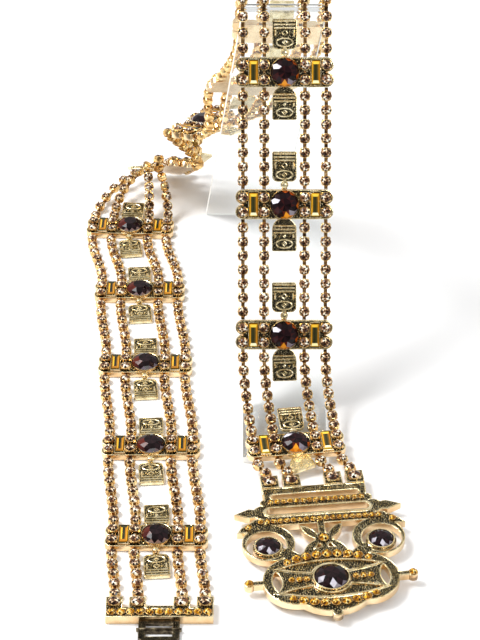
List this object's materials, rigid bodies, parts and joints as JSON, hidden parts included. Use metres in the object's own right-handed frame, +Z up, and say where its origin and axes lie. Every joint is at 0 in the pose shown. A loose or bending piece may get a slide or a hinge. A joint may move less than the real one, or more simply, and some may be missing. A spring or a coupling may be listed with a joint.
{
  "type": "rhinestone belt on a clear display stand",
  "caption": "Jewelled chain belt of cup-chain strands and stone-set station bars with a cast buckle and ladder catch, laid over a bent clear display stand.",
  "frame": {"origin": "on the table, under the middle of the whole", "axes": "+Z up from the table, -Y towards the viewer of the picture, +X to the right in the picture"},
  "size_m": [0.162, 0.3682, 0.1759],
  "materials": {
    "clear_sheet": "clear cast acrylic sheet with polished edges",
    "cup_chain": "gold-plated cups with smoky pink chatons",
    "worn_gold": "antique gold, blackened on top and polished on its sides",
    "dark_gold": "blackened granulated casting with worn gold ribs",
    "dark_topaz": "faceted dark topaz crystal",
    "amber": "step-cut amber crystal",
    "citrine": "faceted citrine crystal"
  },
  "bodies": {
    "root": {"stand": "clear_sheet", "strand_1": "cup_chain", "strand_2": "cup_chain", "strand_3": "cup_chain", "strand_4": "cup_chain", "bar_1": "worn_gold", "bar_2": "worn_gold", "bar_3": "worn_gold", "bar_4": "worn_gold", "bar_5": "worn_gold", "bar_6": "worn_gold", "bar_7": "worn_gold", "bar_8": "worn_gold", "bar_9": "worn_gold", "bar_10": "worn_gold", "bar_11": "worn_gold", "bar_12": "worn_gold", "bar_13": "worn_gold", "plate_1": "dark_gold", "plate_2": "dark_gold", "plate_3": "dark_gold", "plate_4": "dark_gold", "plate_5": "dark_gold", "plate_6": "dark_gold", "plate_7": "dark_gold", "plate_8": "dark_gold", "plate_9": "dark_gold", "plate_10": "dark_gold", "plate_11": "dark_gold", "plate_12": "dark_gold", "plate_13": "dark_gold", "stone_1": "dark_topaz", "stone_2": "dark_topaz", "stone_3": "dark_topaz", "stone_4": "dark_topaz", "stone_5": "dark_topaz", "stone_6": "dark_topaz", "stone_7": "dark_topaz", "stone_8": "dark_topaz", "stone_9": "dark_topaz", "stone_10": "dark_topaz", "stone_11": "dark_topaz", "stone_12": "dark_topaz", "stone_13": "dark_topaz", "baguettes_left": "amber", "baguettes_right": "amber", "end_bar": "worn_gold", "end_stones": "citrine", "catch_ladder": "dark_gold", "buckle_frame": "worn_gold", "buckle_stone_large": "dark_topaz", "buckle_stone_left": "dark_topaz", "buckle_stone_right": "dark_topaz", "buckle_pave": "citrine", "buckle_hook": "worn_gold"}
  },
  "joints": []
}
